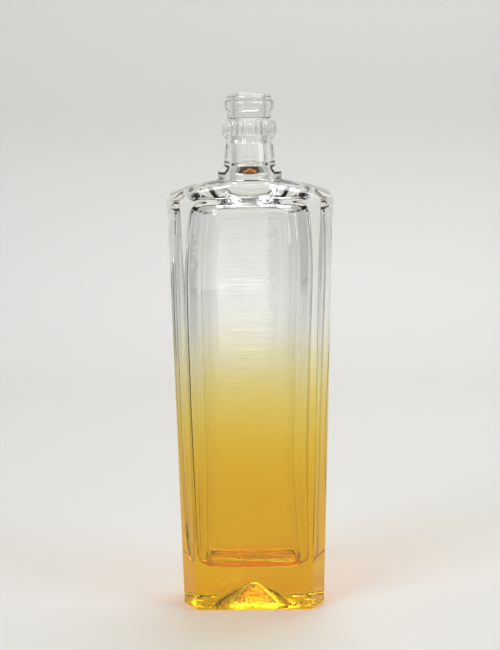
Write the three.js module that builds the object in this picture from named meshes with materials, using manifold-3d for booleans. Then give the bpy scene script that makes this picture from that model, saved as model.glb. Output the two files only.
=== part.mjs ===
// A tall, heavy glass spirits bottle in millimetres, +Z up, standing on z = 0 and facing -Y.
// The body is a chamfered rectangle that narrows downward, under a low domed shoulder and a
// round neck with a ribbed ring. Inside are a deep cavity, a thick base and a punt below it.
import * as THREE from 'three';
import { mergeVertices } from 'three/addons/utils/BufferGeometryUtils.js';
import Module from 'manifold-3d';

// Body, outside
const bodyHeight = 245;
const shoulderWidth = 95;
const shoulderDepth = 60;
const baseWidth = 83;
const baseDepth = 49;
const facetAcross = 7.5;
const facetDeep = 12;
const heelRadius = 2.6;
const shoulderRadius = 2.4;
const domeRise = 7.4;

// Neck, from the shoulder up
const coveRadius = 2;
const beadRadius = 18.7;
const beadThickness = 3.4;
const beadSlopeHeight = 4;
const coneFootRadius = 14.8;
const coneTopRadius = 13.1;
const coneHeight = 13;
const ringRadius = 15.7;
const ringTaper = 2.5;
const ringHeight = 13.2;
const ribCount = 30;
const ribDepth = 0.6;
const grooveRadius = 12.6;
const grooveHeight = 4.9;
const lipBandRadius = 14.2;
const lipBandHeight = 5.7;
const lipBandRounding = 2.2;
const lipRadius = 12.9;
const lipHeight = 9.5;
const lipRounding = 2.2;

// Inside
const faceWall = 4;
const sideWall = 9.3;
const baseThickness = 25;
const cavityCorner = 18;
const floorCorner = 10;
const cornerGrowth = 70;
const cavityFillet = 6.5;
const roofWall = 4.4;
const roofRounding = 8;
const roofRise = 4;
const tuckIn = 3;
const tuckHeight = 45;
const boreRadius = 8.3;
const boreFlare = 14;
const mouthRounding = 0.9;
const floorRise = 1.6;

// Punt, the oval cone pressed into the underside
const puntWidth = 66;
const puntDepth = 36;
const puntHeight = 13;

const domeFoot = bodyHeight;
const domeTop = bodyHeight + domeRise;
const coveTop = domeTop + coveRadius;
const beadTop = coveTop + beadThickness + beadSlopeHeight;
const coneTop = beadTop + coneHeight;
const ringTop = coneTop + ringHeight;
const grooveTop = ringTop + grooveHeight;
const bandTop = grooveTop + lipBandHeight;
const lipTop = grooveTop + lipHeight;

// Points around the outside: two for each rib, shared out over the flat and facet edges below.
const around = 2 * ribCount;
const facetSteps = Math.round(around / 20);
const sideSteps = 2 * facetSteps;
const faceSteps = around / 2 - sideSteps - 2 * facetSteps;
const firstAngle = (Math.PI * sideSteps) / around;

// A chamfered rectangle, drawn anticlockwise from the first corner of the +X side.
function bodyOutline(width, depth) {
  const x = width / 2;
  const y = depth / 2;
  const corners = [
    [x, y - facetDeep], [x - facetAcross, y], [facetAcross - x, y], [-x, y - facetDeep],
    [-x, facetDeep - y], [facetAcross - x, -y], [x - facetAcross, -y], [x, facetDeep - y],
  ].map(([px, py]) => new THREE.Vector2(px, py));
  return corners.flatMap((corner, i) => {
    const next = corners[(i + 1) % corners.length];
    const steps = [facetSteps, faceSteps, facetSteps, sideSteps][i % 4];
    return Array.from({ length: steps }, (_, k) => corner.clone().lerp(next, k / steps));
  });
}

// A circle with as many points, where every second point can be sunk to leave ribs between.
function roundOutline(radius, sunk = 0) {
  return Array.from({ length: around }, (_, i) => {
    const angle = firstAngle + (2 * Math.PI * i) / around;
    const r = radius - (i % 2) * sunk;
    return new THREE.Vector2(r * Math.cos(angle), r * Math.sin(angle));
  });
}

// A rectangle with round corners, which is a circle or an ellipse-like oval at its limits.
function roundedOutline(halfWidth, halfDepth, radius, cornerSteps = 8) {
  const r = Math.min(radius, halfWidth, halfDepth);
  const points = [];
  for (let quarter = 0; quarter < 4; quarter++) {
    const signX = quarter === 0 || quarter === 3 ? 1 : -1;
    const signY = quarter < 2 ? 1 : -1;
    for (let k = 0; k <= cornerSteps; k++) {
      const angle = (Math.PI / 2) * (quarter + k / cornerSteps);
      const x = signX * (halfWidth - r) + r * Math.cos(angle);
      const y = signY * (halfDepth - r) + r * Math.sin(angle);
      points.push(new THREE.Vector2(x, y));
    }
  }
  return points;
}

// Joins outlines with equal point counts, from the lowest up, into one closed skin.
function loft(sections) {
  const count = sections[0].outline.length;
  const positions = sections.flatMap(({ outline, z }) => outline.flatMap((p) => [p.x, p.y, z]));
  const first = sections[0];
  const last = sections[sections.length - 1];
  positions.push(0, 0, first.capZ ?? first.z, 0, 0, last.z);
  const low = sections.length * count;
  const top = low - count;
  const indices = [];
  for (let i = 0; i < count; i++) {
    const j = (i + 1) % count;
    for (let start = 0; start < top; start += count) {
      indices.push(start + i, start + j, start + count + j);
      indices.push(start + i, start + count + j, start + count + i);
    }
    indices.push(low, j, i, low + 1, top + i, top + j);
  }
  const geometry = new THREE.BufferGeometry();
  geometry.setAttribute('position', new THREE.Float32BufferAttribute(positions, 3));
  geometry.setIndex(indices);
  return geometry;
}

// Width and depth of the body at a height, less an inset on every side.
function bodySection(z, inset = 0) {
  const t = z / bodyHeight;
  const width = THREE.MathUtils.lerp(baseWidth, shoulderWidth, t) - 2 * inset;
  const depth = THREE.MathUtils.lerp(baseDepth, shoulderDepth, t) - 2 * inset;
  return { outline: bodyOutline(width, depth), z };
}

// The rounded edge from the body's sides onto the shoulder, or from the underside onto them.
function edgeRing(radius, z, turn) {
  const inset = radius * (1 - Math.cos(turn));
  return { ...bodySection(z, inset), z: z + radius * Math.sin(turn) };
}

const edgeTurns = [0, 0.35, 0.7];
const heel = [1, ...edgeTurns.slice(1).reverse(), 0].map((share) =>
  edgeRing(heelRadius, heelRadius, (-share * Math.PI) / 2));
const shoulderEdge = edgeTurns.map((share) =>
  edgeRing(shoulderRadius, domeFoot - shoulderRadius, (share * Math.PI) / 2));

// The shoulder is a low dome that turns from the body's outline into the foot of the neck.
const edgeTop = shoulderEdge[shoulderEdge.length - 1];
const domeCurve = new THREE.QuadraticBezierCurve(
  new THREE.Vector2(0, edgeTop.z),
  new THREE.Vector2(0.42, domeFoot + 0.62 * domeRise),
  new THREE.Vector2(1, domeTop),
);
const coveFootRadius = beadRadius + coveRadius / 2;
const neckFoot = roundOutline(coveFootRadius);
const dome = domeCurve.getPoints(6).slice(1).map(({ x: share, y: z }) => ({
  outline: edgeTop.outline.map((p, i) => p.clone().lerp(neckFoot[i], share)),
  z,
}));

// The neck's outline as radius against height, with the bead, cone, ribbed ring, groove and lip.
const beadEdge = beadRadius - 0.12 * beadThickness;
const coneBulge = 0.2 * (coneFootRadius - coneTopRadius);
const neckBelowRing = new THREE.Path()
  .moveTo(coveFootRadius, domeTop)
  .quadraticCurveTo(beadEdge, domeTop + 0.2 * coveRadius, beadEdge, coveTop)
  .quadraticCurveTo(2 * beadRadius - beadEdge, coveTop + beadThickness / 2,
    beadEdge, coveTop + beadThickness)
  .lineTo(coneFootRadius, beadTop)
  .quadraticCurveTo((coneFootRadius + coneTopRadius) / 2 + coneBulge, coneTop - coneHeight / 2,
    coneTopRadius, coneTop);
const neckAboveRing = new THREE.Path()
  .moveTo(grooveRadius, ringTop)
  .lineTo(grooveRadius, grooveTop)
  .lineTo(lipBandRadius - lipBandRounding, grooveTop)
  .quadraticCurveTo(lipBandRadius, grooveTop, lipBandRadius, grooveTop + lipBandRounding)
  .lineTo(lipBandRadius, bandTop - lipBandRounding)
  .quadraticCurveTo(lipBandRadius, bandTop, lipRadius, bandTop)
  .lineTo(lipRadius, lipTop - lipRounding)
  .absarc(lipRadius - lipRounding, lipTop - lipRounding, lipRounding, 0, Math.PI / 2);
const rings = (path, divisions) => path.getPoints(divisions).map(({ x: radius, y: z }) => ({
  outline: roundOutline(radius),
  z,
}));

// The ring has a plain bevel below and rounds in above; its ribs stand between the two.
const ringEnd = ringRadius - ringTaper;
const barrel = [[0, 0, 0], [0.29, 0.92, 0], [0.34, 1, 1], [0.66, 1, 1], [0.86, 0.7, 0.7], [1, 0.1, 0]];
const ribbedRing = barrel.map(([height, swell, rib]) => ({
  outline: roundOutline(ringEnd + ringTaper * swell, ribDepth * rib),
  z: coneTop + ringHeight * height,
}));

const outside = loft([
  ...heel, ...shoulderEdge, ...dome, ...rings(neckBelowRing, 3).slice(1),
  ...ribbedRing, ...rings(neckAboveRing, 4),
]);

// The cavity follows the body's taper, above a filleted, slightly raised floor. Its corners are
// rounder than the body's and grow rounder still from the floor up.
function cavitySection(z, inset = 0) {
  const t = z / bodyHeight;
  const growth = THREE.MathUtils.smoothstep(z, baseThickness, baseThickness + cornerGrowth);
  const corner = THREE.MathUtils.lerp(floorCorner, cavityCorner, growth);
  const halfWidth = THREE.MathUtils.lerp(baseWidth, shoulderWidth, t) / 2 - sideWall - inset;
  const halfDepth = THREE.MathUtils.lerp(baseDepth, shoulderDepth, t) / 2 - faceWall - inset;
  return { outline: roundedOutline(halfWidth, halfDepth, corner), z };
}

const floorRings = [1, 0.7, 0.35, 0].map((share) => {
  const turn = (share * Math.PI) / 2;
  const z = baseThickness + cavityFillet * (1 - Math.sin(turn));
  return cavitySection(z, cavityFillet * (1 - Math.cos(turn)));
});
floorRings[0].capZ = baseThickness + floorRise;

// Near the top the walls thicken a little, then turn under the shoulder into a low roof, and the
// roof flares up into the bore, which runs through the mouth.
const wallTop = bodyHeight - roofWall - roofRounding;
const tuckFoot = wallTop - tuckHeight;
const walls = [
  ...[0.25, 0.5, 0.75, 1].map((share) => cavitySection(baseThickness + cornerGrowth * share)),
  ...[0, 0.25, 0.5, 0.75, 1].map((share) =>
    cavitySection(tuckFoot + tuckHeight * share, tuckIn * share ** 2)),
];
const bore = (radius, z) => ({ outline: roundedOutline(radius, radius, radius), z });
const boreFoot = bore(boreRadius, domeTop);
const roofEdge = new THREE.Vector2(0.28, wallTop + roofRounding);
const boreTurn = new THREE.Vector2(0.95, roofEdge.y + roofRise);
const closing = [
  ...new THREE.QuadraticBezierCurve(new THREE.Vector2(0, wallTop),
    new THREE.Vector2(0, roofEdge.y - 0.1 * roofRounding), roofEdge).getPoints(4).slice(1),
  ...new THREE.QuadraticBezierCurve(roofEdge, boreTurn,
    new THREE.Vector2(1, boreTurn.y + boreFlare)).getPoints(6).slice(1),
].map(({ x: share, y: z }) => ({
  outline: walls.at(-1).outline.map((p, i) => p.clone().lerp(boreFoot.outline[i], share)),
  z,
}));
const overrun = 2;
const cavity = loft([
  ...floorRings, ...walls, ...closing,
  bore(boreRadius, lipTop - mouthRounding), bore(boreRadius + mouthRounding, lipTop),
  bore(boreRadius + mouthRounding, lipTop + overrun),
]);

// The punt is a bell-shaped hollow with an oval foot.
const puntShares = [[1, 0], [0.8, 0.14], [0.5, 0.5], [0.25, 0.85], [0.1, 0.97]];
const punt = loft([
  { outline: roundedOutline(puntWidth / 2, puntDepth / 2, puntDepth / 2), z: -overrun },
  ...puntShares.map(([spread, rise]) => {
    const halfDepth = (spread * puntDepth) / 2;
    return {
      outline: roundedOutline((spread * puntWidth) / 2, halfDepth, halfDepth),
      z: puntHeight * rise,
    };
  }),
]);

const wasm = await Module();
wasm.setup();

function solid(geometry) {
  const merged = mergeVertices(geometry);
  const vertProperties = new Float32Array(merged.attributes.position.array);
  const triVerts = new Uint32Array(merged.index.array);
  return new wasm.Manifold(new wasm.Mesh({ numProp: 3, vertProperties, triVerts }));
}

function geometryOf(manifold) {
  const { vertProperties, triVerts } = manifold.getMesh();
  const geometry = new THREE.BufferGeometry();
  geometry.setAttribute('position', new THREE.BufferAttribute(vertProperties, 3));
  geometry.setIndex(new THREE.BufferAttribute(triVerts, 1));
  geometry.computeVertexNormals();
  return geometry;
}

const glass = new THREE.MeshStandardMaterial({
  color: 0xd9c27a, roughness: 0.05, metalness: 0, transparent: true, opacity: 0.4,
});
const bottle = new THREE.Mesh(
  geometryOf(solid(outside).subtract(solid(cavity)).subtract(solid(punt))), glass);
bottle.name = 'glass_bottle';

const group = new THREE.Group();
group.name = 'spirits_bottle';
group.add(bottle);

export default group;
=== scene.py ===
"""The looks of a tall, heavy glass spirits bottle, clear above and sprayed amber toward its foot.

One closed glass skin is lofted ring by ring from the underside's punt, up over the body, shoulder
and neck, and down through the mouth to the cavity's floor. Geometry Nodes then press in what
repeats or ripples: the ribs of the neck ring, the bars of the bearing surface and the uneven
inner wall. Lengths are metres, +Z is up and the front faces -Y.
"""
import math

import bmesh
import bpy
from mathutils import Matrix, Vector


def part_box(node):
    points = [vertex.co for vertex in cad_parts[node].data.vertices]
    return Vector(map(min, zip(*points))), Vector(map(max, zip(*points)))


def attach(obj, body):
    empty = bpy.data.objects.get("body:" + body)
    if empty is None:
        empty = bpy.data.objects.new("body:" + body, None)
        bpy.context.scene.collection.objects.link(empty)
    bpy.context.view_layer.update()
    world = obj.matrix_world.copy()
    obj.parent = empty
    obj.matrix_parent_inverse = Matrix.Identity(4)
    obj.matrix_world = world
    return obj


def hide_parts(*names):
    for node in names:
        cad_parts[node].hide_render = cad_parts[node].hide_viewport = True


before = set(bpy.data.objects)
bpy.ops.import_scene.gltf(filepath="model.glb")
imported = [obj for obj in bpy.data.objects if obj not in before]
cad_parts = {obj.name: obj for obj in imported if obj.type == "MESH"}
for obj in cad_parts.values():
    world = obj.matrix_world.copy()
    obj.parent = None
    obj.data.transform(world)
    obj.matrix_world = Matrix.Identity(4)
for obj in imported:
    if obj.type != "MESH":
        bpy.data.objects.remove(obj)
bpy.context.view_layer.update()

MM = 0.001

# Outer sizes, taken from the frame where its box gives them
_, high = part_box("glass_bottle")
TOTAL_HEIGHT = high[2]
BODY_HEIGHT = 245 * MM
SHOULDER_WIDTH = 95 * MM
SHOULDER_DEPTH = 60 * MM
BASE_WIDTH = 83 * MM
BASE_DEPTH = 49 * MM
FACET_ACROSS = 7.5 * MM
FACET_DEEP = 12 * MM
EDGE_ROUNDING = 1.6 * MM
HEEL_RADIUS = 2.6 * MM
SHOULDER_RADIUS = 2.4 * MM
DOME_RISE = 7.4 * MM

# Neck
COVE_RADIUS = 2 * MM
BEAD_RADIUS = 18.7 * MM
BEAD_THICKNESS = 3.4 * MM
BEAD_SLOPE_HEIGHT = 4 * MM
CONE_FOOT_RADIUS = 14.8 * MM
CONE_TOP_RADIUS = 13.1 * MM
CONE_HEIGHT = 13 * MM
RING_RADIUS = 15.7 * MM
RING_TAPER = 2.5 * MM
RING_HEIGHT = 13.2 * MM
RING_BEVEL = 0.3
RIB_COUNT = 30
RIB_DEPTH = 0.6 * MM
GROOVE_RADIUS = 12.6 * MM
GROOVE_HEIGHT = 4.9 * MM
GROOVE_ROUNDING = (0.3 * MM, 0.4 * MM)
LIP_BAND_RADIUS = 14.2 * MM
LIP_BAND_HEIGHT = 5.7 * MM
LIP_BAND_ROUNDING = 2.2 * MM
LIP_RADIUS = 12.9 * MM
LIP_ROUNDING = 2.2 * MM
LIP_SEAM = 0.14 * MM
LIP_SEAM_HEIGHT = 0.4 * MM
LIP_SEAM_LEDGE = 0.25 * MM

# Inside
FACE_WALL = 4 * MM
SIDE_WALL = 9.3 * MM
BASE_THICKNESS = 25 * MM
CAVITY_CORNER = 18 * MM
FLOOR_CORNER = 10 * MM
CORNER_GROWTH = 70 * MM
CAVITY_FILLET = 6.5 * MM
ROOF_WALL = 4.4 * MM
ROOF_ROUNDING = 8 * MM
ROOF_RISE = 4 * MM
TUCK_IN = 3 * MM
TUCK_HEIGHT = 45 * MM
BORE_RADIUS = 8.3 * MM
BORE_FLARE = 14 * MM
MOUTH_ROUNDING = 0.9 * MM
FLOOR_RISE = 1.6 * MM
WALL_SHIFT = -2 * MM
WALL_WAVE = 0.28 * MM
WALL_WAVE_FADE = 30 * MM

# Punt and bearing surface
PUNT_WIDTH = 66 * MM
PUNT_DEPTH = 36 * MM
PUNT_HEIGHT = 13 * MM
PUNT_BELL = [  # share of its spread and share of its height, from the peak outward
    (0.02, 1.0), (0.05, 0.99), (0.09, 0.96), (0.14, 0.91), (0.22, 0.82), (0.32, 0.7),
    (0.44, 0.55), (0.56, 0.4), (0.68, 0.26), (0.8, 0.14), (0.9, 0.05), (0.96, 0.015),
    (1.0, 0.0),
]
BAR_COUNT = 60
BAR_DEPTH = 0.3 * MM

DOME_TOP = BODY_HEIGHT + DOME_RISE
COVE_TOP = DOME_TOP + COVE_RADIUS
BEAD_TOP = COVE_TOP + BEAD_THICKNESS + BEAD_SLOPE_HEIGHT
CONE_TOP = BEAD_TOP + CONE_HEIGHT
RING_TOP = CONE_TOP + RING_HEIGHT
GROOVE_TOP = RING_TOP + GROOVE_HEIGHT
LIP_TOP = TOTAL_HEIGHT

# Amber spray: full below the first height and gone above the second, in stops between them
SPRAY_FULL = 48 * MM
SPRAY_GONE = 178 * MM
SPRAY_DRIFT = 20 * MM
SPRAY_STOPS = [
    (0.0, (0.83, 0.44, 0.005)),
    (0.22, (0.86, 0.49, 0.01)),
    (0.42, (0.90, 0.59, 0.04)),
    (0.6, (0.93, 0.73, 0.16)),
    (0.76, (0.945, 0.865, 0.5)),
    (0.89, (0.95, 0.94, 0.83)),
    (1.0, (0.95, 0.965, 0.955)),
]

# Glass
IOR = 1.52
INNER_TINT = (0.965, 0.975, 0.968, 1)
BUMP_STRENGTH = 0.3
BUMP_DISTANCE = 0.3 * MM
RIPPLE_EDGE = (8 * MM, 22 * MM)
RIPPLE_TOP = (225 * MM, 240 * MM)
ORANGE_PEEL_SHARE = 0.45
STIPPLE_SHARE = 3.5
SMEAR_RANGE = (0.45, 0.75)
SMEAR_ROUGHNESS = 0.02
PUNT_ROUGHNESS = 0.06
SHADOW_SHARE = 0.85

# Camera, matched to the photograph
CAMERA_PLACE = (-0.0008, -1.06, 0.3434)
CAMERA_PITCH = 9.45
CAMERA_ROLL = -0.62
CAMERA_LENS = 101.1

# Stage: lamps are given as name, place, aim, width, height and watts
FLOOR_COLOUR = (0.66, 0.65, 0.63)
FLOOR_ROUGHNESS = 0.6
AMBIENT_COLOUR = (0.8, 0.82, 0.85, 1)
AMBIENT_STRENGTH = 0.4
WALL_COLOUR = (0.5, 0.5, 0.495, 1)
SOFTBOXES = [
    ("key_softbox", (-0.9, -1.0, 1.1), (0, 0, 0.15), 0.7, 0.7, 14),
    ("fill_softbox", (1.1, -0.7, 0.8), (0, 0, 0.15), 0.6, 0.9, 7),
    ("back_softbox", (0.2, 0.6, 1.2), (0, 0.3, 0.0), 0.9, 0.5, 8),
]
FRONT_CARD = ("front_card", (-0.02, -0.93, 0.065), (0, 0, 0.19), 0.08, 0.09, 0.035)

# Points in a quarter of each ring, and in a whole one
QUARTER = 60
AROUND = 4 * QUARTER
TOUCHING = 1e-6


# Curves

def mix(a, b, t):
    return a + (b - a) * t


def bend(a, b, c, steps):
    """Points of a quadratic curve after its first one."""
    return [
        ((1 - t) ** 2 * Vector(a) + 2 * (1 - t) * t * Vector(b) + t * t * Vector(c))[:2]
        for t in (k / steps for k in range(1, steps + 1))
    ]


def line(a, b, steps):
    """Evenly spaced points of a straight stretch after its first one."""
    return [(mix(a[0], b[0], k / steps), mix(a[1], b[1], k / steps)) for k in range(1, steps + 1)]


def arc(centre, radius, start, end, steps):
    """Points of an arc after its first one, in degrees."""
    turns = [math.radians(mix(start, end, k / steps)) for k in range(1, steps + 1)]
    return [(centre[0] + radius * math.cos(t), centre[1] + radius * math.sin(t)) for t in turns]


# Outlines in plan, each with the same number of points

def all_round(quarter):
    """A whole outline from the points of its first quarter, both ends included."""
    one = quarter[:-1]
    two = [(-x, y) for x, y in reversed(quarter)][:-1]
    return one + two + [(-x, -y) for x, y in one] + [(-x, -y) for x, y in two]


def body_outline(half_width, half_depth):
    """The chamfered rectangle, with each upright edge rounded."""
    length = math.hypot(FACET_ACROSS, FACET_DEEP)
    along = (-FACET_ACROSS / length, FACET_DEEP / length)
    turn = math.degrees(math.atan2(FACET_ACROSS, FACET_DEEP))
    first = EDGE_ROUNDING * math.tan(math.radians(turn / 2))
    second = EDGE_ROUNDING * math.tan(math.radians((90 - turn) / 2))
    side_end = (half_width, half_depth - FACET_DEEP - first)
    facet_end = (
        half_width - FACET_ACROSS - along[0] * second,
        half_depth - along[1] * second,
    )
    facet_arc = (half_width - EDGE_ROUNDING, side_end[1])
    front_start = (half_width - FACET_ACROSS - second, half_depth)
    front_arc = (front_start[0], half_depth - EDGE_ROUNDING)
    points = [(half_width, 0)]
    points += line(points[-1], side_end, 8)
    points += arc(facet_arc, EDGE_ROUNDING, 0, turn, 6)
    points += line(points[-1], facet_end, 8)
    points += arc(front_arc, EDGE_ROUNDING, turn, 90, 8)
    points += line(points[-1], (0, half_depth), 30)
    return all_round(points)


def oval_outline(half_width, half_depth, corner):
    """A rectangle with round corners; a circle or a stadium at its limits."""
    corner = min(corner, half_width, half_depth)
    points = [(half_width, 0)]
    if half_depth > corner:
        points += line(points[-1], (half_width, half_depth - corner), 8)
        points += arc((half_width - corner, half_depth - corner), corner, 0, 90, 32)
        points += line(points[-1], (0, half_depth), 20)
    elif half_width > corner:
        points += arc((half_width - corner, 0), corner, 0, 90, 40)
        points += line(points[-1], (0, half_depth), 20)
    else:
        points += arc((0, 0), corner, 0, 90, QUARTER)
    return all_round(points)


def blend_outlines(a, b, t):
    return [(mix(p[0], q[0], t), mix(p[1], q[1], t)) for p, q in zip(a, b)]


# Rings of the skin, in order: each is an outline and a height

def body_size(z):
    """Half the body's width and half its depth at a height."""
    t = z / BODY_HEIGHT
    return mix(BASE_WIDTH, SHOULDER_WIDTH, t) / 2, mix(BASE_DEPTH, SHOULDER_DEPTH, t) / 2


def edge_ring(radius, z, turn):
    """A ring of the rounded heel or shoulder edge, turned from upright by an angle."""
    half_width, half_depth = body_size(z)
    inset = radius * (1 - math.cos(turn))
    outline = body_outline(half_width - inset, half_depth - inset)
    return outline, z + radius * math.sin(turn)


def underside_rings():
    """The punt from its peak outward, then the flat bearing surface to the heel."""
    rings = []
    for spread, rise in PUNT_BELL:
        half_depth = spread * PUNT_DEPTH / 2
        outline = oval_outline(spread * PUNT_WIDTH / 2, half_depth, half_depth)
        rings.append((outline, rise * PUNT_HEIGHT))
    foot = rings[-1][0]
    heel_foot, _ = edge_ring(HEEL_RADIUS, HEEL_RADIUS, -math.pi / 2)
    rings += [(blend_outlines(foot, heel_foot, k / 12), 0.0) for k in range(1, 12)]
    return rings


def outside_rings():
    """The heel, the tapering walls, the shoulder's edge and the dome up to the cove."""
    rings = [edge_ring(HEEL_RADIUS, HEEL_RADIUS, -math.pi / 2 * (1 - k / 8)) for k in range(9)]
    steps = 40
    top = BODY_HEIGHT - SHOULDER_RADIUS
    for k in range(1, steps):
        z = mix(HEEL_RADIUS, top, k / steps)
        rings.append((body_outline(*body_size(z)), z))
    last_turn = 0.7 * math.pi / 2
    rings += [edge_ring(SHOULDER_RADIUS, top, last_turn * k / 8) for k in range(9)]
    edge, edge_z = rings[-1]
    cove_foot = BEAD_RADIUS + COVE_RADIUS / 2
    foot = oval_outline(cove_foot, cove_foot, cove_foot)
    dome = bend((0, edge_z), (0.42, BODY_HEIGHT + 0.62 * DOME_RISE), (1, DOME_TOP), 24)
    rings += [(blend_outlines(edge, foot, share), z) for share, z in dome]
    return rings


def neck_profile():
    """Radius and height from the cove under the bead up to the top of the cone."""
    bead_edge = BEAD_RADIUS - 0.12 * BEAD_THICKNESS
    bulge = 0.2 * (CONE_FOOT_RADIUS - CONE_TOP_RADIUS)
    middle = (CONE_FOOT_RADIUS + CONE_TOP_RADIUS) / 2 + bulge
    points = [(BEAD_RADIUS + COVE_RADIUS / 2, DOME_TOP)]
    points += bend(points[-1], (bead_edge, DOME_TOP + 0.2 * COVE_RADIUS), (bead_edge, COVE_TOP), 6)
    points += bend(points[-1], (2 * BEAD_RADIUS - bead_edge, COVE_TOP + BEAD_THICKNESS / 2),
                   (bead_edge, COVE_TOP + BEAD_THICKNESS), 8)
    slope_top = COVE_TOP + BEAD_THICKNESS
    for share, steps in ((0.25, 2), (0.86, 4)):
        on_slope = (mix(bead_edge, CONE_FOOT_RADIUS, share), mix(slope_top, BEAD_TOP, share))
        points += line(points[-1], on_slope, steps)
    points += bend(points[-1], (CONE_FOOT_RADIUS, BEAD_TOP),
                   (mix(CONE_FOOT_RADIUS, middle, 0.1), BEAD_TOP + 0.1 * CONE_HEIGHT), 4)
    points += bend(points[-1], (middle, BEAD_TOP + CONE_HEIGHT / 2),
                   (CONE_TOP_RADIUS, CONE_TOP), 14)
    return points


def ring_profile():
    """The ribbed ring: a straight bevel, a crisp edge, a swelled barrel and a round top."""
    end = RING_RADIUS - RING_TAPER
    edge = (RING_RADIUS - 0.1 * RING_TAPER, CONE_TOP + RING_BEVEL * RING_HEIGHT)
    belly = (RING_RADIUS, CONE_TOP + 0.48 * RING_HEIGHT)
    crown = (RING_RADIUS - 0.12 * RING_TAPER, CONE_TOP + 0.72 * RING_HEIGHT)
    points = [(end, CONE_TOP)]
    points += line(points[-1], (mix(end, edge[0], 0.9), mix(CONE_TOP, edge[1], 0.92)), 6)
    over_edge = (mix(edge[0], belly[0], 0.2), mix(edge[1], belly[1], 0.14))
    points += bend(points[-1], edge, over_edge, 4)
    points += bend(points[-1], belly, crown, 10)
    points += bend(points[-1], (RING_RADIUS - 0.35 * RING_TAPER, RING_TOP - 0.08 * RING_HEIGHT),
                   (end + 0.1 * RING_TAPER, RING_TOP), 8)
    return points


def lip_profile():
    """The plain groove, the wide band, the narrower band over it and the mouth's rounded edge."""
    band_top = GROOVE_TOP + LIP_BAND_HEIGHT
    band_middle = (LIP_BAND_RADIUS, GROOVE_TOP + LIP_BAND_HEIGHT / 2)
    out, up = GROOVE_ROUNDING
    points = [(GROOVE_RADIUS + out, RING_TOP)]
    points += bend(points[-1], (GROOVE_RADIUS, RING_TOP), (GROOVE_RADIUS, RING_TOP + up), 3)
    points += line(points[-1], (GROOVE_RADIUS, GROOVE_TOP - up), 4)
    points += bend(points[-1], (GROOVE_RADIUS, GROOVE_TOP), (GROOVE_RADIUS + out, GROOVE_TOP), 3)
    points += bend(points[-1], (LIP_BAND_RADIUS, GROOVE_TOP),
                   (LIP_BAND_RADIUS, GROOVE_TOP + LIP_BAND_ROUNDING), 7)
    points += line(points[-1], band_middle, 2)
    points += line(points[-1], (LIP_BAND_RADIUS, band_top - LIP_BAND_ROUNDING), 2)
    points += bend(points[-1], (LIP_BAND_RADIUS, band_top),
                   (LIP_RADIUS + LIP_SEAM_LEDGE, band_top), 7)
    points += bend(points[-1], (LIP_RADIUS - LIP_SEAM, band_top),
                   (LIP_RADIUS - LIP_SEAM / 2, band_top + LIP_SEAM_HEIGHT), 4)
    points += line(points[-1], (LIP_RADIUS, LIP_TOP - LIP_ROUNDING), 2)
    points += arc((LIP_RADIUS - LIP_ROUNDING, LIP_TOP - LIP_ROUNDING), LIP_ROUNDING, 0, 90, 12)
    land = BORE_RADIUS + MOUTH_ROUNDING
    points += line(points[-1], (land, LIP_TOP), 2)
    points += arc((land, LIP_TOP - MOUTH_ROUNDING), MOUTH_ROUNDING, 90, 180, 6)
    return points


def cavity_ring(z, inset=0.0):
    """The cavity's outline at a height; its corners grow rounder from the floor up."""
    half_width, half_depth = body_size(z)
    t = min(1.0, max(0.0, (z - BASE_THICKNESS) / CORNER_GROWTH))
    corner = mix(FLOOR_CORNER, CAVITY_CORNER, t * t * (3 - 2 * t))
    return oval_outline(half_width - SIDE_WALL - inset, half_depth - FACE_WALL - inset, corner)


def wall_shift(z):
    """The cavity leans a little to the left in the body, and is centred at its floor and neck."""
    t = (z - BASE_THICKNESS) / (DOME_TOP - BASE_THICKNESS)
    return WALL_SHIFT * math.sin(math.pi * min(1.0, max(0.0, t)) ** 0.8)


def inside_rings():
    """Down the bore, out under the shoulder, down the walls and over the floor's fillet."""
    wall_top = BODY_HEIGHT - ROOF_WALL - ROOF_ROUNDING
    roof_edge = (0.28, wall_top + ROOF_ROUNDING)
    bore_turn = (0.95, roof_edge[1] + ROOF_RISE)
    bore_foot = (1.0, bore_turn[1] + BORE_FLARE)
    bore = oval_outline(BORE_RADIUS, BORE_RADIUS, BORE_RADIUS)
    wall = cavity_ring(wall_top, TUCK_IN)
    roof = bend((0.0, wall_top), (0.0, roof_edge[1] - 0.1 * ROOF_ROUNDING), roof_edge, 16)
    roof += bend(roof_edge, bore_turn, bore_foot, 22)
    rings = [(bore, z) for _, z in line((0, LIP_TOP - MOUTH_ROUNDING), bore_foot, 12)[:-1]]
    rings += [(blend_outlines(wall, bore, share), z) for share, z in reversed(roof)]
    steps = 80
    fillet_top = BASE_THICKNESS + CAVITY_FILLET
    for k in range(steps):
        z = mix(wall_top, fillet_top, k / steps)
        tucked = max(0.0, 1 - (wall_top - z) / TUCK_HEIGHT)
        rings.append((cavity_ring(z, TUCK_IN * tucked ** 2), z))
    for k in range(15):
        turn = math.pi / 2 * k / 14
        z = BASE_THICKNESS + CAVITY_FILLET * (1 - math.sin(turn))
        rings.append((cavity_ring(z, CAVITY_FILLET * (1 - math.cos(turn))), z))
    floor, _ = rings[-1]
    centre = [(0.0, 0.0)] * AROUND
    for k in range(1, 13):
        t = k / 13
        rise = FLOOR_RISE * (1 - math.cos(math.pi * t)) / 2
        rings.append((blend_outlines(floor, centre, t), BASE_THICKNESS + rise))
    return [([(x + wall_shift(z), y) for x, y in outline], z) for outline, z in rings]


def round_rings(profile):
    return [(oval_outline(r, r, r), z) for r, z in profile]


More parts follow.
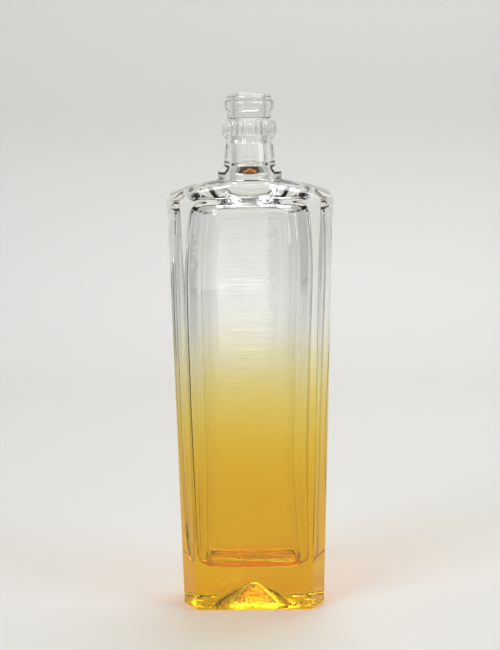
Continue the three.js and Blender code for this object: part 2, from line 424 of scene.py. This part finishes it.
def build_skin():
    """The closed glass skin, with an attribute for the share round it and one for each region."""
    regions = [
        ("underside", underside_rings()),
        ("outside", outside_rings()),
        ("neck", round_rings(neck_profile()[1:])),
        ("ring", round_rings(ring_profile())),
        ("lip", round_rings(lip_profile())),
        ("inside", inside_rings()),
    ]
    skin = bmesh.new()
    turn = skin.verts.layers.float.new("turn")
    inner = skin.verts.layers.float.new("inner")
    bearing = skin.verts.layers.float.new("bearing")
    stippled = skin.verts.layers.float.new("stippled")
    ring_share = skin.verts.layers.float.new("ring_share")
    rows = []
    for region, rings in regions:
        for outline, z in rings:
            row = []
            for k, (x, y) in enumerate(outline):
                vertex = skin.verts.new((x, y, z))
                vertex[turn] = k / AROUND
                vertex[inner] = float(region == "inside")
                vertex[bearing] = float(region == "underside" and z < TOUCHING)
                vertex[stippled] = float(region == "underside" and z > TOUCHING)
                vertex[ring_share] = (z - CONE_TOP) / RING_HEIGHT if region == "ring" else 0.0
                row.append(vertex)
            rows.append(row)
    for below, above in zip(rows, rows[1:]):
        for k in range(AROUND):
            n = (k + 1) % AROUND
            skin.faces.new((below[k], below[n], above[n], above[k]))
    poles = ((rows[0], PUNT_HEIGHT, True), (rows[-1], BASE_THICKNESS + FLOOR_RISE, False))
    for row, height, flip in poles:
        pole = skin.verts.new((0, 0, height))
        pole[inner] = 0.0 if flip else 1.0
        pole[stippled] = 1.0 if flip else 0.0
        for k in range(AROUND):
            n = (k + 1) % AROUND
            skin.faces.new((row[n], row[k], pole) if flip else (row[k], row[n], pole))
    bmesh.ops.recalc_face_normals(skin, faces=skin.faces)
    if skin.calc_volume(signed=True) < 0:
        bmesh.ops.reverse_faces(skin, faces=skin.faces)
    mesh = bpy.data.meshes.new("glass_bottle_skin")
    skin.to_mesh(mesh)
    skin.free()
    for polygon in mesh.polygons:
        polygon.use_smooth = True
    bottle = bpy.data.objects.new("moulded_bottle", mesh)
    bpy.context.collection.objects.link(bottle)
    return bottle


# Geometry Nodes that press the repeated and uneven forms into the skin

class Tree:
    """A node tree with short calls for its nodes and links."""

    def __init__(self, tree):
        self.tree = tree

    def node(self, kind, **settings):
        made = self.tree.nodes.new(kind)
        for name, value in settings.items():
            setattr(made, name, value)
        return made

    def feed(self, socket, value):
        if isinstance(value, bpy.types.NodeSocket):
            self.tree.links.new(value, socket)
        else:
            socket.default_value = value

    def math(self, operation, a, b=None):
        made = self.node("ShaderNodeMath", operation=operation)
        self.feed(made.inputs[0], a)
        if b is not None:
            self.feed(made.inputs[1], b)
        return made.outputs[0]

    def noise(self, place, scale, detail, **settings):
        made = self.node("ShaderNodeTexNoise", **settings)
        self.feed(made.inputs["Vector"], place)
        made.inputs["Scale"].default_value = scale
        made.inputs["Detail"].default_value = detail
        return made

    def smooth(self, value, start, end):
        made = self.node("ShaderNodeMapRange", interpolation_type="SMOOTHSTEP")
        self.feed(made.inputs["Value"], value)
        self.feed(made.inputs["From Min"], start)
        self.feed(made.inputs["From Max"], end)
        return made.outputs["Result"]


def pressed_forms():
    """Ribs on the ring, bars under the foot and a slow unevenness on the inner wall."""
    group = bpy.data.node_groups.new("pressed_forms", "GeometryNodeTree")
    face = group.interface
    face.new_socket("Geometry", in_out="INPUT", socket_type="NodeSocketGeometry")
    sizes = {
        "Rib count": RIB_COUNT, "Rib depth": RIB_DEPTH, "Bar count": BAR_COUNT,
        "Bar depth": BAR_DEPTH, "Wall wave": WALL_WAVE,
    }
    for name, value in sizes.items():
        face.new_socket(name, in_out="INPUT", socket_type="NodeSocketFloat").default_value = value
    face.new_socket("Glass", in_out="INPUT", socket_type="NodeSocketMaterial")
    face.new_socket("Geometry", in_out="OUTPUT", socket_type="NodeSocketGeometry")

    t = Tree(group)
    given = t.node("NodeGroupInput").outputs

    def attribute(name):
        made = t.node("GeometryNodeInputNamedAttribute", data_type="FLOAT")
        made.inputs["Name"].default_value = name
        return made.outputs["Attribute"]

    def repeats(count, turn):
        """A smooth wave round the bottle from 0 to 1, once for each copy."""
        angle = t.math("MULTIPLY", t.math("MULTIPLY", turn, count), 2 * math.pi)
        return t.math("MULTIPLY", t.math("SUBTRACT", 1.0, t.math("COSINE", angle)), 0.5)

    turn = attribute("turn")
    share = attribute("ring_share")
    rise = t.smooth(share, RING_BEVEL, RING_BEVEL + 0.06)
    fall = t.math("SUBTRACT", 1.0, t.smooth(share, 0.78, 0.98))
    gaps = t.math("POWER", repeats(given["Rib count"], turn), 2.0)
    ribs = t.math("MULTIPLY", t.math("MULTIPLY", rise, fall), gaps)
    sunk = t.math("MULTIPLY", ribs, given["Rib depth"])

    bars = t.math("POWER", repeats(given["Bar count"], turn), 3.0)
    lifted = t.math("MULTIPLY", t.math("MULTIPLY", bars, attribute("bearing")), given["Bar depth"])

    place = t.node("GeometryNodeInputPosition").outputs[0]
    noise = t.noise(place, 26.0, 1.0, noise_dimensions="4D")
    noise.inputs["W"].default_value = 3.7
    wave = t.math("MULTIPLY", t.math("SUBTRACT", noise.outputs[0], 0.5), 2.0)
    height = t.node("ShaderNodeSeparateXYZ")
    t.feed(height.inputs[0], place)
    wave_end = t.smooth(height.outputs["Z"], DOME_TOP - WALL_WAVE_FADE, DOME_TOP)
    below_neck = t.math("SUBTRACT", 1.0, wave_end)
    uneven = t.math("MULTIPLY", t.math("MULTIPLY", wave, given["Wall wave"]), below_neck)
    uneven = t.math("MULTIPLY", uneven, attribute("inner"))

    inward = t.math("SUBTRACT", t.math("SUBTRACT", uneven, sunk), lifted)
    along = t.node("ShaderNodeVectorMath", operation="SCALE")
    t.feed(along.inputs[0], t.node("GeometryNodeInputNormal").outputs[0])
    t.feed(along.inputs["Scale"], inward)

    pressed = t.node("GeometryNodeSetPosition")
    t.feed(pressed.inputs["Geometry"], given["Geometry"])
    t.feed(pressed.inputs["Offset"], along.outputs[0])
    real = t.node("GeometryNodeRealizeInstances")
    t.feed(real.inputs[0], pressed.outputs[0])
    coat = t.node("GeometryNodeSetMaterial")
    t.feed(coat.inputs["Geometry"], real.outputs[0])
    t.feed(coat.inputs["Material"], given["Glass"])
    t.feed(t.node("NodeGroupOutput").inputs[0], coat.outputs[0])
    return group


def press(bottle, glass):
    """Runs the tree on the skin and keeps the result as a plain mesh."""
    modifier = bottle.modifiers.new("pressed forms", "NODES")
    modifier.node_group = pressed_forms()
    sockets = {
        item.name: item.identifier
        for item in modifier.node_group.interface.items_tree
        if item.item_type == "SOCKET" and item.in_out == "INPUT"
    }
    modifier[sockets["Glass"]] = glass
    depsgraph = bpy.context.evaluated_depsgraph_get()
    mesh = bpy.data.meshes.new_from_object(bottle.evaluated_get(depsgraph))
    bottle.modifiers.remove(modifier)
    bottle.data = mesh
    for polygon in mesh.polygons:
        polygon.use_smooth = True


# Materials

def sprayed_glass():
    """Clear soda glass with a faint green-grey tint, under an amber spray that fades upward."""
    material = bpy.data.materials.new("sprayed_glass")
    material.use_nodes = True
    t = Tree(material.node_tree)
    t.tree.nodes.clear()
    place = t.node("ShaderNodeTexCoord").outputs["Object"]
    parts = t.node("ShaderNodeSeparateXYZ")
    t.feed(parts.inputs[0], place)

    cloud = t.noise(place, 30.0, 3.0)
    drift = t.math("MULTIPLY", t.math("SUBTRACT", cloud.outputs[0], 0.5), SPRAY_DRIFT)
    height = t.math("ADD", parts.outputs["Z"], drift)
    fade = t.node("ShaderNodeMapRange")
    t.feed(fade.inputs["Value"], height)
    fade.inputs["From Min"].default_value = SPRAY_FULL
    fade.inputs["From Max"].default_value = SPRAY_GONE
    ramp = t.node("ShaderNodeValToRGB")
    t.feed(ramp.inputs[0], fade.outputs[0])
    ramp.color_ramp.interpolation = "B_SPLINE"
    elements = ramp.color_ramp.elements
    while len(elements) < len(SPRAY_STOPS):
        elements.new(0.5)
    for element, (position, colour) in zip(elements, SPRAY_STOPS):
        element.position = position
        element.color = (*colour, 1)

    inner = t.node("ShaderNodeAttribute", attribute_name="inner")
    tint = t.node("ShaderNodeMix", data_type="RGBA")
    t.feed(tint.inputs["Factor"], inner.outputs["Fac"])
    t.feed(tint.inputs["A"], ramp.outputs[0])
    tint.inputs["B"].default_value = INNER_TINT

    # Fine level ripples cross the middle of the inner faces; the whole skin is a little uneven
    stretch = t.node("ShaderNodeMapping")
    t.feed(stretch.inputs["Vector"], place)
    stretch.inputs["Scale"].default_value = (14, 14, 330)
    ripple = t.noise(stretch.outputs[0], 1.6, 2.0)
    across = t.math("ABSOLUTE", parts.outputs["X"])
    on_face = t.math("SUBTRACT", 1.0, t.smooth(across, *RIPPLE_EDGE))
    body_only = t.math("SUBTRACT", 1.0, t.smooth(parts.outputs["Z"], *RIPPLE_TOP))
    rippled = t.math("MULTIPLY", t.math("MULTIPLY", on_face, body_only), inner.outputs["Fac"])
    orange_peel = t.noise(place, 90.0, 2.0)
    relief = t.math("MULTIPLY", ripple.outputs[0], rippled)
    peeled = t.math("MULTIPLY", orange_peel.outputs[0], ORANGE_PEEL_SHARE)
    relief = t.math("ADD", relief, peeled)

    # A stipple roughens the punt
    stipple = t.noise(place, 420.0, 2.0)
    punt = t.node("ShaderNodeAttribute", attribute_name="stippled").outputs["Fac"]
    pitted = t.math("MULTIPLY", stipple.outputs[0], t.math("MULTIPLY", punt, STIPPLE_SHARE))
    relief = t.math("ADD", relief, pitted)
    bump = t.node("ShaderNodeBump")
    bump.inputs["Strength"].default_value = BUMP_STRENGTH
    bump.inputs["Distance"].default_value = BUMP_DISTANCE
    t.feed(bump.inputs["Height"], relief)

    smear = t.math("MULTIPLY", t.smooth(cloud.outputs[0], *SMEAR_RANGE), SMEAR_ROUGHNESS)
    smear = t.math("ADD", smear, t.math("MULTIPLY", punt, PUNT_ROUGHNESS))
    surface = t.node("ShaderNodeBsdfPrincipled")
    t.feed(surface.inputs["Base Color"], tint.outputs["Result"])
    t.feed(surface.inputs["Roughness"], smear)
    t.feed(surface.inputs["Normal"], bump.outputs[0])
    surface.inputs["IOR"].default_value = IOR
    surface.inputs["Transmission Weight"].default_value = 1.0

    lamp_light = t.node("ShaderNodeBsdfTransparent")
    t.feed(lamp_light.inputs["Color"], tint.outputs["Result"])
    shadow = t.node("ShaderNodeLightPath").outputs["Is Shadow Ray"]
    through = t.node("ShaderNodeMixShader")
    t.feed(through.inputs[0], t.math("MULTIPLY", shadow, SHADOW_SHARE))
    t.feed(through.inputs[1], surface.outputs[0])
    t.feed(through.inputs[2], lamp_light.outputs[0])
    t.feed(t.node("ShaderNodeOutputMaterial").inputs["Surface"], through.outputs[0])
    return material


def stage_material(name, colour, roughness):
    """A plain colour that a camera behind or under the stage sees through."""
    material = bpy.data.materials.new(name)
    material.use_nodes = True
    t = Tree(material.node_tree)
    shader = material.node_tree.nodes["Principled BSDF"]
    shader.inputs["Base Color"].default_value = (*colour, 1)
    shader.inputs["Roughness"].default_value = roughness
    from_behind = t.node("ShaderNodeNewGeometry").outputs["Backfacing"]
    seen = t.node("ShaderNodeLightPath").outputs["Is Camera Ray"]
    either = t.node("ShaderNodeMixShader")
    t.feed(either.inputs[0], t.math("MULTIPLY", from_behind, seen))
    t.feed(either.inputs[1], shader.outputs[0])
    t.feed(either.inputs[2], t.node("ShaderNodeBsdfTransparent").outputs[0])
    t.feed(material.node_tree.nodes["Material Output"].inputs["Surface"], either.outputs[0])
    return material


# Stage: camera, floor, backdrop and lamps

def build_camera():
    """The photograph's view: about a metre in front and a little above the bottle's mouth."""
    camera = bpy.data.objects.new("camera", bpy.data.cameras.new("camera"))
    camera.data.sensor_width = 36
    camera.data.lens = CAMERA_LENS
    place = Matrix.Translation(CAMERA_PLACE)
    tilt = Matrix.Rotation(math.radians(90 - CAMERA_PITCH), 4, "X")
    camera.matrix_world = place @ tilt @ Matrix.Rotation(math.radians(CAMERA_ROLL), 4, "Z")
    bpy.context.collection.objects.link(camera)
    bpy.context.scene.camera = camera


def build_floor():
    """A pale floor that curves up into a pale backdrop."""
    reach, back, rise, bend_radius, half_width = 1.6, 0.9, 1.3, 0.25, 1.5
    profile = [(-reach, 0.0), (back - bend_radius, 0.0)]
    profile += arc((back - bend_radius, bend_radius), bend_radius, -90, 0, 16)
    profile.append((back, rise))
    stage = bmesh.new()
    sides = (-half_width, half_width)
    rows = [[stage.verts.new((x, y, z)) for x in sides] for y, z in profile]
    for a, b in zip(rows, rows[1:]):
        stage.faces.new((a[0], a[1], b[1], b[0]))
    mesh = bpy.data.meshes.new("floor")
    stage.to_mesh(mesh)
    stage.free()
    for polygon in mesh.polygons:
        polygon.use_smooth = True
    floor = bpy.data.objects.new("floor", mesh)
    floor.data.materials.append(stage_material("pale_floor", FLOOR_COLOUR, FLOOR_ROUGHNESS))
    bpy.context.collection.objects.link(floor)


def area_lamp(name, place, aim, width, height, power):
    """A rectangular lamp aimed at a point; its data is returned."""
    data = bpy.data.lights.new(name, "AREA")
    data.shape = "RECTANGLE"
    data.size = width
    data.size_y = height
    data.energy = power
    lamp = bpy.data.objects.new(name, data)
    lamp.location = place
    lamp.rotation_euler = (Vector(aim) - Vector(place)).to_track_quat("-Z", "Y").to_euler()
    bpy.context.collection.objects.link(lamp)
    return data


def hide_straight_through(data):
    """Keeps a lamp's reflections in the glass and hides it from a straight look through glass."""
    data.use_nodes = True
    t = Tree(data.node_tree)
    rays = t.node("ShaderNodeLightPath").outputs
    unreflected = t.math("LESS_THAN", rays["Glossy Depth"], 0.5)
    through = t.math("GREATER_THAN", rays["Transmission Depth"], 0.5)
    straight = t.math("MULTIPLY", through, unreflected)
    emission = next(n for n in data.node_tree.nodes if n.type == "EMISSION")
    t.feed(emission.inputs["Strength"], t.math("SUBTRACT", 1.0, straight))


def build_lights():
    """Softboxes round the bottle and a pale world, which camera and glass see as a plain wall."""
    for softbox in SOFTBOXES:
        area_lamp(*softbox)
    hide_straight_through(area_lamp(*FRONT_CARD))
    world = bpy.data.worlds.new("studio")
    world.use_nodes = True
    t = Tree(world.node_tree)
    ambient = world.node_tree.nodes["Background"]
    ambient.inputs["Color"].default_value = AMBIENT_COLOUR
    ambient.inputs["Strength"].default_value = AMBIENT_STRENGTH
    pale_wall = t.node("ShaderNodeBackground")
    pale_wall.inputs["Color"].default_value = WALL_COLOUR
    rays = t.node("ShaderNodeLightPath").outputs
    seen = t.math("MAXIMUM", rays["Is Glossy Ray"], rays["Is Transmission Ray"])
    seen = t.math("MAXIMUM", seen, rays["Is Camera Ray"])
    either = t.node("ShaderNodeMixShader")
    t.feed(either.inputs[0], seen)
    t.feed(either.inputs[1], ambient.outputs[0])
    t.feed(either.inputs[2], pale_wall.outputs[0])
    t.feed(world.node_tree.nodes["World Output"].inputs["Surface"], either.outputs[0])
    bpy.context.scene.world = world


build_camera()
glass = sprayed_glass()
bottle = build_skin()
press(bottle, glass)
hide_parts("glass_bottle")
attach(bottle, "root")

build_floor()
build_lights()

bpy.context.scene.view_settings.view_transform = "Standard"
